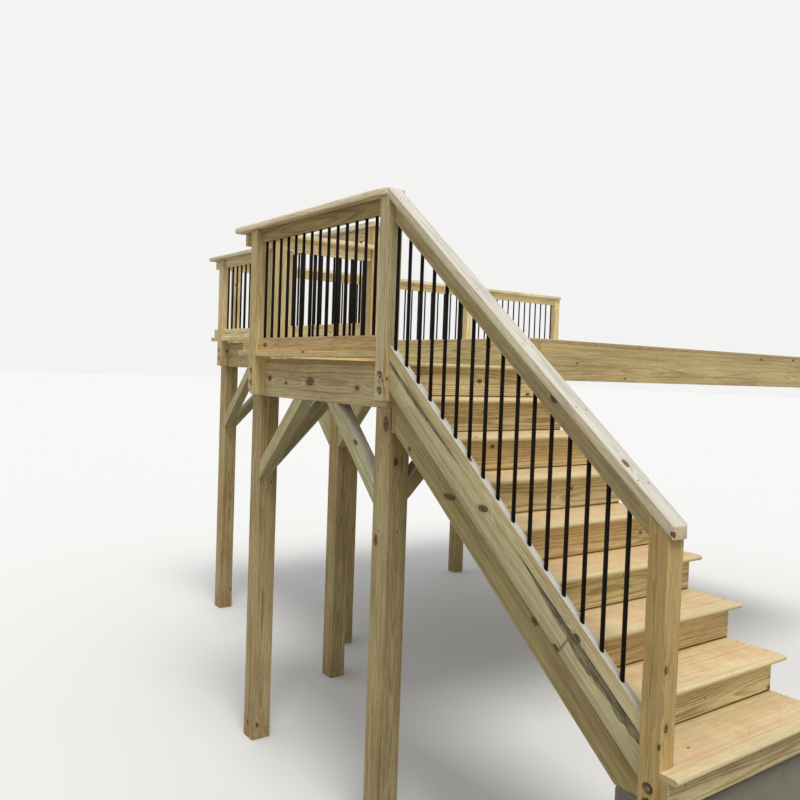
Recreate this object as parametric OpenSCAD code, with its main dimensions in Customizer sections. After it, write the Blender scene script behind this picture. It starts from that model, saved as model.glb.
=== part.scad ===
// Wooden deck stairs: a straight flight with a railing, its landing and the deck it serves.
// Millimetres, +Z up. The flight descends towards +X, its railing is on the -Y side.
// Z = 0 is the lowest ground, under the deck's far posts.

/* [Stair] */
// Height from one tread to the next
rise = 184; // [160:1:200]
// Distance from one nosing to the next
going = 229; // [215:1:260]
// Treads below the landing
tread_n = 8; // [5:1:10]
// Length of a tread from the outer stringer to the inner one
tread_l = 1045; // [900:5:1400]
// How far a tread stands out over the riser below it
overhang = 70; // [40:1:90]
// Height of the lowest tread over the footing
first_step = 180; // [160:1:200]

/* [Landing and deck] */
// Length of the landing along the railing
landing_l = 1753; // [1600:1:2200]
// Depth of the landing from the railing to the deck
landing_d = 1092; // [1080:1:1400]
// Length of the deck along the landing side
deck_l = 4850; // [4500:1:6000]
// Depth of the deck from the landing to its far end
deck_d = 5334; // [4600:1:6000]
// Fall of the ground from the stair foot to the lowest post
ground_fall = 1091; // [800:1:1500]

/* [Railing] */
// Height of the cap over the floor
guard_h = 931; // [900:1:1070]
// Diameter of a round baluster
baluster_d = 19; // [16:1:25]
// Distance between balusters in the level railing
level_pitch = 103.6; // [90:0.1:115]
// Distance between balusters along the stair
stair_pitch = 105.7; // [90:0.1:115]
// Depth of a baluster's hole in a rail
socket = 25; // [15:1:30]

/* [Timber] */
// Thickness of framing lumber
board = 38; // [35:1:45]
// Thickness of the deck boards and treads
plank = 25; // [22:1:32]
// Width of a rail
rail_w = 89; // [80:1:100]
// Width of a level cap
cap_w = 140; // [130:1:150]
// Depth of a rim or joist
rim_h = 235; // [220:1:260]
// Depth of a stringer board
stringer_w = 266; // [250:1:300]
// Width of the skirt under the stair railing
skirt_w = 126; // [110:1:140]
// Side of a railing post
newel = 89; // [80:1:100]
// Side of a support post
column = 140; // [130:1:160]

/* [Hidden] */
$fn = 32;

// Levels
foot_z = ground_fall;
tread1_z = foot_z + first_step;
landing_z = tread1_z + rise * tread_n;
rim_top = landing_z - plank;
deck_z = landing_z + rise;
deck_rim_top = deck_z - plank;
slope = rise / going;
// Vertical depth of one millimetre measured square to the slope
plumb = sqrt(1 + slope * slope);
guard_top = landing_z + guard_h;
cap_under = guard_top - board;
rail_under = cap_under - rail_w;
foot_gap = 16;
sill_gap = 37;
foot_board_z = landing_z + foot_gap;
bottom_rail_z = foot_board_z + board;
level_step = deck_z - landing_z;

// Stair plan
edge_x = 3 * board;
tread_w = going + overhang;
first_overhang = board;
nose1_x = edge_x + going * tread_n;
riser1_x = nose1_x - first_overhang - board;
bottom_newel_x = riser1_x - newel;
top_newel_set = 49;
top_newel_x0 = -top_newel_set;
top_newel_x1 = top_newel_x0 + newel;
rail_set = 56;
rail_y0 = -rail_set;
baluster_y = rail_y0 + board / 2;
tab_y = -board;
side_set = 10;
side_lap = newel - side_set;
joint = 1;
floor_gap = 12;
stair_cap_w = 89;
cap_out = 3;
stair_cap_y0 = -newel - cap_out;
cap_overrun = 18;
cap_corner = 12;
corner_turn = 22.5;
deck_y = landing_d;

// Sloping lines, as heights at the rim face
cap_joint = 20;
rail_lift = 141;
rail_top_0 = rim_top + rail_lift;
rail_low_0 = rail_top_0 - rail_w * plumb;
skirt_low_0 = rail_low_0 - skirt_w * plumb;
stair_cap_0 = guard_top + slope * cap_joint - board * plumb;
top_rail_low_0 = stair_cap_0 - rail_w * plumb;
notch_0 = rim_top + slope * (edge_x - overhang - board);
stringer_low_0 = notch_0 - stringer_w * plumb;
cap_end_x = riser1_x + cap_overrun;
foot_x = (stringer_low_0 - foot_z) / slope;

function nose_x(k) = edge_x + going * (tread_n + 1 - k);
function tread_z(k) = tread1_z + rise * (k - 1);
function along(h, x) = h - slope * x;

// Baluster places, counted so that the gaps never widen, and their holes' play
play = 0.6;
end_gap = 26;
last_gap = 13;
stair_run = bottom_newel_x - top_newel_x1;
stair_count = floor((stair_run - end_gap - last_gap) / stair_pitch);
stair_first = top_newel_x1 + end_gap;
corner_set = 110;
corner_x0 = corner_set - landing_l;
level_run = top_newel_x0 - corner_x0 - newel;
level_count = floor((level_run - last_gap) / level_pitch);
level_last = top_newel_x0 - level_pitch;

// Level railing
cap_lap = (cap_w - newel) / 2;
foot_lap = (rail_w - board) / 2;
rim_low = rim_top - rim_h;
deck_rim_low = deck_rim_top - rim_h;

// Railing posts on the outside of the rims, the first of a side set back from its corner
post_set = 140;
tab_drop = 226;
top_tab_drop = 190;
tab_chamfer = 51;
side_x0 = -landing_l - newel;
side_post_y = [post_set, landing_d - newel];
far_x0 = -deck_l - newel;
far_bays = 3;
far_y0 = deck_y + post_set;
far_y1 = deck_y + deck_d - newel;
far_pitch = (far_y1 - far_y0) / far_bays;
side_rail_x = side_x0 + newel + rail_y0;
far_rail_x = far_x0 + newel + rail_y0;
front_post_x = [corner_set - deck_l, (side_x0 - deck_l + corner_set) / 2];

// Framing under the floors
column_set = 15;
landing_column_x = [column_set - landing_l, -column_set - column];
beam_set = [520, 1971];
beam_y = [deck_y + beam_set[0], deck_y + deck_d - beam_set[1]];
joist_n = 7;
inner_column_set = [714, 1400];
deck_column_x = [column_set - deck_l, -landing_l - inner_column_set[0], -landing_l - inner_column_set[1]];
deck_column_at = [
  [deck_column_x[0], deck_y],
  [deck_column_x[1], deck_y],
  [deck_column_x[2], beam_y[0]],
  [deck_column_x[0], beam_y[1]]
];
near_brace_drop = [463, 421];
back_brace_drop = 385;
deck_brace_drop = [530, 457];

// Bolts in the posts' tabs: between two, and from a tab's end up to the lower one
bolt_pitch = 85;
foot_bolt_pitch = 57;
bolt_rise = [54, 78, 35];
bore_d = 50;
bore_deep = 12;

lumber = [0.78, 0.70, 0.50];
metal = [0.05, 0.05, 0.05];
concrete = [0.55, 0.55, 0.52];

// Part frame: the foot of the support post beside the stair
module place() {
  translate([column / 2 + column_set, -column / 2, 0]) children();
}

// A board between two corners
module block(a, b) {
  translate(a) cube(b - a);
}

// A plate cut to an outline in the XZ plane, from y0 to y1
module plate_xz(points, y0, y1) {
  translate([0, y1, 0]) rotate([90, 0, 0]) linear_extrude(y1 - y0) polygon(points);
}

// A plate cut to an outline in the YZ plane, from x0 to x1
module plate_yz(points, x0, x1) {
  translate([x0, 0, 0]) rotate([90, 0, 90]) linear_extrude(x1 - x0) polygon(points);
}

// A sloping board with plumb ends, h being its lower edge at the rim face
module raked(x0, x1, h, w, y0, y1) {
  plate_xz([[x0, along(h, x0)], [x1, along(h, x1)], [x1, along(h + w * plumb, x1)], [x0, along(h + w * plumb, x0)]], y0, y1);
}

// Two counterbored bolt holes in a post's outer face, which looks to -Y unless turned
module bolts(x, y, z, pitch, turn = 0) {
  translate([x, y, z]) rotate([0, 0, turn]) {
    for (i = [0, 1]) {
      translate([0, bore_deep, pitch * i]) rotate([90, 0, 0]) cylinder(d = bore_d, h = bore_d);
    }
  }
}

// A tread or floor edge with a half-round nosing towards +X
module nosed_board(x_nose, z_top, w, y0, y1) {
  block([x_nose - w, y0, z_top - plank], [x_nose - plank / 2, y1, z_top]);
  translate([x_nose - plank / 2, y1, z_top - plank / 2]) rotate([90, 0, 0]) cylinder(d = plank, h = y1 - y0);
}

// Lowest tread, notched round the bottom newel
module bottom_tread() color(lumber) place() difference() {
  nosed_board(nose1_x, tread1_z, tread_w, -side_lap, tread_l);
  block([0, -newel, tread1_z - rise], [riser1_x, tab_y, tread1_z + rise]);
  block([0, -newel, tread1_z - rise], [bottom_newel_x, 0, tread1_z + rise]);
}

// The other treads
module treads() color(lumber) place() {
  for (k = [2 : tread_n - 1]) {
    nosed_board(nose_x(k), tread_z(k), tread_w, 0, tread_l);
  }
  nosed_board(nose_x(tread_n), tread_z(tread_n), nose_x(tread_n) - 2 * board, 0, tread_l);
}

// First riser, in front of the newel and clear of the footing
module bottom_riser() color(lumber) place() {
  block([riser1_x, -side_lap, foot_z + sill_gap], [riser1_x + board, tread_l, tread1_z - plank]);
}

// Risers behind each tread, and the one under the landing's nosing
module risers() color(lumber) place() {
  for (k = [2 : tread_n]) {
    x = nose_x(k) - overhang - board;
    block([x, 0, tread_z(k - 1) - plank], [x + board, tread_l, tread_z(k) - plank]);
  }
  block([board, 0, tread_z(tread_n) - plank], [2 * board, tread_l, rim_top]);
}

// Cut stringer: a plumb and a level cut for every step
module stringer(y) {
  steps = [for (k = [tread_n : -1 : 2]) each [
    [nose_x(k) - overhang - board, tread_z(k) - plank],
    [nose_x(k) - overhang - board, tread_z(k - 1) - plank]
  ]];
  top = [[board, tread_z(tread_n) - plank]];
  foot = [[riser1_x, tread1_z - plank], [riser1_x, foot_z], [foot_x, foot_z]];
  plate_xz(concat(top, steps, foot, [[board, along(stringer_low_0, board)]]), y, y + board);
}

module stringer_outer() color(lumber) place() {
  stringer(0);
}

module stringer_middle() color(lumber) place() {
  stringer((tread_l - board) / 2);
}

module stringer_inner() color(lumber) place() {
  stringer(tread_l - board);
}

// Skirt on the outer stringer, carrying the railing's lower rail
module skirt_board() color(lumber) place() difference() {
  under = tread1_z - plank;
  plate_xz([
    [top_newel_x1, along(skirt_low_0, top_newel_x1)],
    [riser1_x, along(skirt_low_0, riser1_x)],
    [riser1_x, under],
    [bottom_newel_x, under],
    [bottom_newel_x, along(rail_low_0, bottom_newel_x)],
    [top_newel_x1, along(rail_low_0, top_newel_x1)]
  ], tab_y, 0);
  block([bottom_newel_x, tab_y - joint, foot_z - rise], [riser1_x + joint, joint, foot_z]);
}

// Board on the landing's rim that the stringers hang from
module hanger_board() color(lumber) place() {
  block([0, 0, along(stringer_low_0, board)], [board, tread_l, rim_top]);
}

// Concrete footing under the stringers, down to the lowest ground
module stair_footing() color(concrete) place() {
  block([foot_x, 0, 0], [riser1_x, tread_l, foot_z]);
}

// Bottom newel: its inner part stands on the lowest tread, its outer tab runs down past it
module bottom_newel() color(lumber) place() difference() {
  low = foot_z + floor_gap;
  plate_xz([
    [bottom_newel_x, low],
    [riser1_x, low],
    [riser1_x, along(stair_cap_0, riser1_x)],
    [bottom_newel_x, along(stair_cap_0, bottom_newel_x)]
  ], -newel, 0);
  block([bottom_newel_x - joint, tab_y, foot_z], [riser1_x + joint, joint, tread1_z]);
  bolts(bottom_newel_x + newel / 2, -newel, low + bolt_rise[2], foot_bolt_pitch);
}

// Top newel, bolted to the rim's face and cut under both caps
module top_newel() color(lumber) place() difference() {
  low = rim_top - top_tab_drop;
  plate_xz([
    [top_newel_x0, low],
    [top_newel_x1, low],
    [top_newel_x1, along(stair_cap_0, top_newel_x1)],
    [cap_joint, along(stair_cap_0, cap_joint)],
    [cap_joint, cap_under],
    [top_newel_x0, cap_under]
  ], -newel, 0);
  bolts(top_newel_x0 + newel / 2, -newel, low + bolt_rise[0], bolt_pitch);
}

// Sloping cap of the stair railing, sawn plumb, with the corners of its lower end rounded
module stair_cap() color(lumber) place() intersection() {
  y1 = stair_cap_y0 + stair_cap_w;
  r = cap_corner;
  raked(cap_joint, cap_end_x, stair_cap_0, board, stair_cap_y0, y1);
  translate([0, 0, foot_z]) linear_extrude(guard_top - foot_z + rise) polygon(concat(
    [[cap_joint - newel, stair_cap_y0]],
    [for (a = [-90 : corner_turn : 0]) [cap_end_x - r + r * cos(a), stair_cap_y0 + r + r * sin(a)]],
    [for (a = [0 : corner_turn : 90]) [cap_end_x - r + r * cos(a), y1 - r + r * sin(a)]],
    [[cap_joint - newel, y1]]
  ));
}

// Blind holes for the stair balusters
module stair_sockets(up) {
  for (i = [0 : stair_count - 1]) {
    x = stair_first + stair_pitch * i;
    z = up ? along(top_rail_low_0, x) + socket - rise : along(rail_top_0, x) - socket;
    translate([x, baluster_y, z]) cylinder(d = baluster_d + play, h = rise);
  }
}

module stair_top_rail() color(lumber) place() difference() {
  raked(top_newel_x1, bottom_newel_x, top_rail_low_0, rail_w, rail_y0, rail_y0 + board);
  stair_sockets(true);
}

module stair_bottom_rail() color(lumber) place() difference() {
  raked(top_newel_x1, bottom_newel_x, rail_low_0, rail_w, rail_y0, rail_y0 + board);
  stair_sockets(false);
}

module stair_balusters() color(metal) place() {
  for (i = [0 : stair_count - 1]) {
    x = stair_first + stair_pitch * i;
    z = along(rail_top_0, x) - socket;
    translate([x, baluster_y, z]) cylinder(d = baluster_d, h = along(top_rail_low_0, x) + socket - z);
  }
}

// Left post of the landing's railing, its tab chamfered at the lower corner
module landing_corner_post() color(lumber) place() difference() {
  low = rim_top - tab_drop;
  plate_xz([
    [corner_x0, low + tab_chamfer],
    [corner_x0 + tab_chamfer, low],
    [corner_x0 + newel, low],
    [corner_x0 + newel, cap_under],
    [corner_x0, cap_under]
  ], -newel, 0);
  bolts(corner_x0 + newel / 2, -newel, low + bolt_rise[1], bolt_pitch);
}

// Level cap: mitred at the left corner, clipped at the top newel
module landing_cap() color(lumber) place() translate([0, 0, cap_under]) linear_extrude(board) polygon([
  [side_x0 - cap_lap, -newel - cap_lap],
  [cap_joint - newel + cap_lap, -newel - cap_lap],
  [cap_joint, stair_cap_y0],
  [cap_joint, cap_lap],
  [side_x0 + newel + cap_lap, cap_lap]
]);

// Blind holes for the landing's balusters
module level_sockets(z) {
  for (i = [0 : level_count - 1]) {
    translate([level_last - level_pitch * i, baluster_y, z]) cylinder(d = baluster_d + play, h = socket + rail_w);
  }
}

module landing_top_rail() color(lumber) place() difference() {
  union() {
    block([corner_x0 + newel, rail_y0, rail_under], [top_newel_x0, rail_y0 + board, cap_under]);
    block([side_rail_x + board, rail_y0, rail_under], [corner_x0, rail_y0 + board, cap_under]);
  }
  level_sockets(rail_under - rail_w);
}

module landing_bottom_rail() color(lumber) place() difference() {
  union() {
    block([corner_x0 + newel, rail_y0, bottom_rail_z], [top_newel_x0, rail_y0 + board, bottom_rail_z + rail_w]);
    block([side_rail_x + board, rail_y0, bottom_rail_z], [corner_x0, rail_y0 + board, bottom_rail_z + rail_w]);
  }
  level_sockets(bottom_rail_z + rail_w - socket);
}

// Flat board under the bottom rail
module landing_foot_board() color(lumber) place() {
  y0 = rail_y0 - foot_lap;
  block([corner_x0 + newel, y0, foot_board_z], [top_newel_x0, y0 + rail_w, bottom_rail_z]);
  block([side_rail_x + board + foot_lap, y0, foot_board_z], [corner_x0, y0 + rail_w, bottom_rail_z]);
}

module landing_balusters() color(metal) place() {
  z = bottom_rail_z + rail_w - socket;
  for (i = [0 : level_count - 1]) {
    translate([level_last - level_pitch * i, baluster_y, z]) cylinder(d = baluster_d, h = rail_under + socket - z);
  }
}

// Posts of the railing on the landing's far side: the back one also serves the deck's railing
module side_posts() color(lumber) place() {
  outer_post(side_post_y[0], 0);
  outer_post(side_post_y[1], level_step);
}

// A post bolted to the landing's far side, taller by extra
module outer_post(y, extra) difference() {
  low = rim_top - tab_drop;
  block([side_x0, y, low], [side_x0 + newel, y + newel, cap_under + extra]);
  bolts(side_x0, y + newel / 2, low + bolt_rise[1], bolt_pitch, -90);
}

module side_cap() color(lumber) place() translate([0, 0, cap_under]) linear_extrude(board) polygon([
  [side_x0 - cap_lap, -newel - cap_lap],
  [side_x0 + newel + cap_lap, cap_lap],
  [side_x0 + newel + cap_lap, side_post_y[1]],
  [side_x0 - cap_lap, side_post_y[1]]
]);

// A railing panel along Y at height z: rails, flat board and balusters from y0 to y1
module panel_y(x, y0, y1, z) {
  block([x, y0, z + rail_under], [x + board, y1, z + cap_under]);
  block([x, y0, z + bottom_rail_z], [x + board, y1, z + bottom_rail_z + rail_w]);
  block([x - foot_lap, y0, z + foot_board_z], [x - foot_lap + rail_w, y1, z + bottom_rail_z]);
  n = floor((y1 - y0) / level_pitch);
  step = (y1 - y0) / n;
  for (i = [0 : n - 1]) {
    translate([x + board / 2, y0 + step * (i + 0.5), z + bottom_rail_z]) cylinder(d = baluster_d, h = rail_under - bottom_rail_z + board);
  }
}

// The same along X
module panel_x(x0, x1, y, z) {
  translate([x0, y + board, 0]) rotate([0, 0, -90]) panel_y(0, 0, x1 - x0, z);
}

// Side railing's panel, with its stub round the corner
module side_guard() color(lumber) place() {
  panel_y(side_rail_x, side_post_y[0] + newel, side_post_y[1], 0);
  stub_y(side_rail_x, rail_y0, side_post_y[0], 0);
}

// Short ends of rail between a corner and the first post
module stub_y(x, y0, y1, z) {
  block([x, y0, z + rail_under], [x + board, y1, z + cap_under]);
  block([x, y0, z + bottom_rail_z], [x + board, y1, z + bottom_rail_z + rail_w]);
  block([x - foot_lap, y0 - foot_lap, z + foot_board_z], [x + board + foot_lap, y1, z + bottom_rail_z]);
}

// Four rim boards of a floor frame between two corners, butted with a hair of a joint
module rim_boards(x0, x1, y0, y1, low, top) {
  block([x0, y0, low], [x1, y0 + board, top]);
  block([x0, y1 - board, low], [x1, y1, top]);
  block([x0, y0 + board + joint, low], [x0 + board, y1 - board - joint, top]);
  block([x1 - board, y0 + board + joint, low], [x1, y1 - board - joint, top]);
}

module landing_rims() color(lumber) place() {
  rim_boards(-landing_l, 0, 0, landing_d, rim_low, rim_top);
}

module landing_joists() color(lumber) place() {
  for (i = [1 : 2]) {
    y = (landing_d - board) * i / 3;
    block([board - landing_l, y, rim_low], [-board, y + board, rim_top]);
  }
}

// Landing floor, its nosing over the top riser
module landing_decking() color(lumber) place() {
  block([-landing_l, 0, rim_top], [0, landing_d, landing_z]);
  nosed_board(edge_x, landing_z, edge_x, 0, tread_l);
}

// Riser from the landing to the deck, over the rim's face
module deck_step_riser() color(lumber) place() {
  block([side_x0 + newel, landing_d - plank, landing_z], [0, landing_d, deck_rim_top]);
}

module deck_rims() color(lumber) place() {
  rim_boards(-deck_l, 0, deck_y, deck_y + deck_d, deck_rim_low, deck_rim_top);
}

// Doubled beams between the deck's end rims
module deck_beams() color(lumber) place() {
  for (y = beam_y) {
    block([board - deck_l, y, deck_rim_low], [-board, y + 2 * board, deck_rim_top]);
  }
}

module deck_joists() color(lumber) place() {
  ends = [deck_y + board, beam_y[0], beam_y[0] + 2 * board, beam_y[1], beam_y[1] + 2 * board, deck_y + deck_d - board];
  span = deck_l - 2 * board;
  for (i = [1 : joist_n]) {
    x = -deck_l + board + span * i / (joist_n + 1) - board / 2;
    for (j = [0, 2, 4]) {
      block([x, ends[j], deck_rim_low], [x + board, ends[j + 1], deck_rim_top]);
    }
  }
}

module deck_decking() color(lumber) place() {
  block([-deck_l, deck_y, deck_rim_top], [0, deck_y + deck_d, deck_z]);
  block([side_x0 + newel, deck_y - plank, deck_rim_top], [0, deck_y + plank, deck_z]);
}

// Posts of the deck's railing on the landing side
module front_guard_post() color(lumber) place() {
  low = deck_rim_top - tab_drop;
  for (x = front_post_x) {
    difference() {
      block([x, deck_y - newel, low], [x + newel, deck_y, cap_under + level_step]);
      bolts(x + newel / 2, deck_y - newel, low + bolt_rise[1], bolt_pitch);
    }
  }
}

module front_cap() color(lumber) place() translate([0, 0, cap_under + level_step]) linear_extrude(board) polygon([
  [far_x0 - cap_lap, deck_y - newel - cap_lap],
  [side_x0 + newel + cap_lap, deck_y - newel - cap_lap],
  [side_x0 + newel + cap_lap, deck_y + cap_lap],
  [far_x0 + newel + cap_lap, deck_y + cap_lap]
]);

module front_guard() color(lumber) place() {
  y = deck_y + rail_y0;
  panel_x(front_post_x[0] + newel, front_post_x[1], y, level_step);
  panel_x(front_post_x[1] + newel, side_x0, y, level_step);
  x0 = far_rail_x + board;
  x1 = front_post_x[0];
  z = level_step;
  block([x0, y, z + rail_under], [x1, y + board, z + cap_under]);
  block([x0, y, z + bottom_rail_z], [x1, y + board, z + bottom_rail_z + rail_w]);
  block([x0 + foot_lap, y - foot_lap, z + foot_board_z], [x1, y + board + foot_lap, z + bottom_rail_z]);
}

module far_guard_posts() color(lumber) place() {
  low = deck_rim_top - tab_drop;
  for (i = [0 : far_bays]) {
    y = far_y0 + far_pitch * i;
    difference() {
      block([far_x0, y, low], [far_x0 + newel, y + newel, cap_under + level_step]);
      bolts(far_x0, y + newel / 2, low + bolt_rise[1], bolt_pitch, -90);
    }
  }
}

module far_cap() color(lumber) place() translate([0, 0, cap_under + level_step]) linear_extrude(board) polygon([
  [far_x0 - cap_lap, deck_y - newel - cap_lap],
  [far_x0 + newel + cap_lap, deck_y + cap_lap],
  [far_x0 + newel + cap_lap, deck_y + deck_d],
  [far_x0 - cap_lap, deck_y + deck_d]
]);

module far_guard() color(lumber) place() {
  for (i = [0 : far_bays - 1]) {
    panel_y(far_rail_x, far_y0 + far_pitch * i + newel, far_y0 + far_pitch * (i + 1), level_step);
  }
  stub_y(far_rail_x, deck_y + rail_y0, far_y0, level_step);
}

// Posts under the landing's front corners
module landing_columns() color(lumber) place() {
  for (x = landing_column_x) {
    block([x, 0, 0], [x + column, column, rim_low]);
  }
}

module deck_columns() color(lumber) place() {
  for (p = deck_column_at) {
    block([p[0], p[1], 0], [p[0] + column, p[1] + column, deck_rim_low]);
  }
}

// A 45 degree brace w deep in the XZ plane: from a post's face at x up to a beam at z_top
module brace_x(x, drop, w, z_top, dir, y) {
  cut = w * sqrt(2);
  plate_xz([
    [x, z_top - drop],
    [x + dir * drop, z_top],
    [x + dir * (drop + cut), z_top],
    [x, z_top - drop - cut]
  ], y, y + newel);
}

// The same in the YZ plane
module brace_y(y, drop, w, z_top, x) {
  cut = w * sqrt(2);
  plate_yz([
    [y, z_top - drop],
    [y + drop, z_top],
    [y + drop + cut, z_top],
    [y, z_top - drop - cut]
  ], x, x + newel);
}

module landing_braces() color(lumber) place() {
  left = landing_column_x[0];
  right = landing_column_x[1];
  brace_x(left + column, near_brace_drop[0], newel, rim_low, 1, 0);
  brace_x(right, near_brace_drop[1], newel, rim_low, -1, 0);
  brace_y(column, back_brace_drop, newel, rim_low, left + column - newel);
  brace_y(column, back_brace_drop, newel, rim_low, right + column - newel);
}

module deck_braces() color(lumber) place() {
  corner = deck_column_at[0];
  front = deck_column_at[1];
  inset = column - newel;
  brace_x(corner[0] + column, deck_brace_drop[0], newel, deck_rim_low, 1, corner[1]);
  brace_y(corner[1] + column, deck_brace_drop[0], newel, deck_rim_low, corner[0] + inset);
  brace_x(front[0] + column, deck_brace_drop[1], column, deck_rim_low, 1, front[1]);
  brace_x(front[0], deck_brace_drop[1], column, deck_rim_low, -1, front[1]);
}

bottom_tread();
treads();
bottom_riser();
risers();
stringer_outer();
stringer_middle();
stringer_inner();
skirt_board();
hanger_board();
stair_footing();
bottom_newel();
top_newel();
stair_cap();
stair_top_rail();
stair_bottom_rail();
stair_balusters();
landing_corner_post();
landing_cap();
landing_top_rail();
landing_bottom_rail();
landing_foot_board();
landing_balusters();
side_posts();
side_cap();
side_guard();
landing_rims();
landing_joists();
landing_decking();
deck_step_riser();
deck_rims();
deck_beams();
deck_joists();
deck_decking();
front_guard_post();
front_cap();
front_guard();
far_guard_posts();
far_cap();
far_guard();
landing_columns();
deck_columns();
landing_braces();
deck_braces();
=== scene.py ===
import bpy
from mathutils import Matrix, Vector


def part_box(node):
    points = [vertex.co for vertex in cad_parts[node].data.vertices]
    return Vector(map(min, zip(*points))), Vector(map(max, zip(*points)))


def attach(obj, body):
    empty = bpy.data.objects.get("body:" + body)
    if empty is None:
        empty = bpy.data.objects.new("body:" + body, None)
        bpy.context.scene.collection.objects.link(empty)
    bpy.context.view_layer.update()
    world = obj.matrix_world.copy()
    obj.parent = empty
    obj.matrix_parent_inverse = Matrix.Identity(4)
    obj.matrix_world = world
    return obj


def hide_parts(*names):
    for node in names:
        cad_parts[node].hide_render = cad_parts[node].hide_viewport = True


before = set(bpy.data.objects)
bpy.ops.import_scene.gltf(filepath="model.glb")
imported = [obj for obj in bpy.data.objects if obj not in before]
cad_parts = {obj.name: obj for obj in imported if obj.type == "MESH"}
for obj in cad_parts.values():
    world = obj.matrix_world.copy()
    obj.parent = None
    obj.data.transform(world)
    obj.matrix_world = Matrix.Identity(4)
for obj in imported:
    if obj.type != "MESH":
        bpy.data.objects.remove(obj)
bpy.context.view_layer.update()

import math
import random

import bmesh
import bpy
from mathutils import Matrix, Vector

# Viewpoint
# A wide lens at the landing's height, out beyond the stair foot and to its left. It is
# turned from +Y towards -X, dips a little below level and leans to one side.
turn, dip, lean = math.radians(54.11), math.radians(-2.13), math.radians(2.01)
ahead = Vector((-math.sin(turn) * math.cos(dip), math.cos(turn) * math.cos(dip), math.sin(dip)))
aside = Vector((math.cos(turn), math.sin(turn), 0))
above = aside.cross(ahead)
across = math.cos(lean) * aside + math.sin(lean) * above
upward = math.cos(lean) * above - math.sin(lean) * aside
lens = bpy.data.cameras.new("viewpoint")
lens.sensor_width = 36
lens.lens = 36.716
lens.clip_end = 400
camera = bpy.data.objects.new("viewpoint", lens)
stand = Matrix((across, upward, -ahead)).transposed().to_4x4()
stand.translation = (3.732, -2.657, 2.7005)
camera.matrix_world = stand
bpy.context.scene.collection.objects.link(camera)
bpy.context.scene.camera = camera
bpy.context.scene.view_settings.view_transform = "Standard"


# Studio
# A pale floor at the lowest ground, a room that is brighter overhead than at the sides, and
# one broad soft lamp high over the stair.
class Value:
    """A shader socket that takes part in plain arithmetic."""

    def __init__(self, graph, socket):
        self.graph, self.socket = graph, socket

    def math(self, operation, *others, clamp=False):
        settings = {"operation": operation, "use_clamp": clamp}
        return self.graph.node("ShaderNodeMath", settings, (self, *others))[0]

    def __add__(self, other):
        return self.math("ADD", other)

    __radd__ = __add__

    def __sub__(self, other):
        return self.math("SUBTRACT", other)

    def __rsub__(self, other):
        return self.graph.node("ShaderNodeMath", {"operation": "SUBTRACT"}, (other, self))[0]

    def __mul__(self, other):
        return self.math("MULTIPLY", other)

    __rmul__ = __mul__

    def __truediv__(self, other):
        return self.math("DIVIDE", other)

    def __rtruediv__(self, other):
        return self.graph.node("ShaderNodeMath", {"operation": "DIVIDE"}, (other, self))[0]

    def __pow__(self, other):
        return self.math("POWER", other)

    def ramp(self, low, high, start=0.0, end=1.0, step="SMOOTHSTEP"):
        """Runs from start at low to end at high, and stays there."""
        ends = {"Value": self, "From Min": low, "From Max": high, "To Min": start, "To Max": end}
        return self.graph.node("ShaderNodeMapRange", {"interpolation_type": step}, ends)[0]


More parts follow.
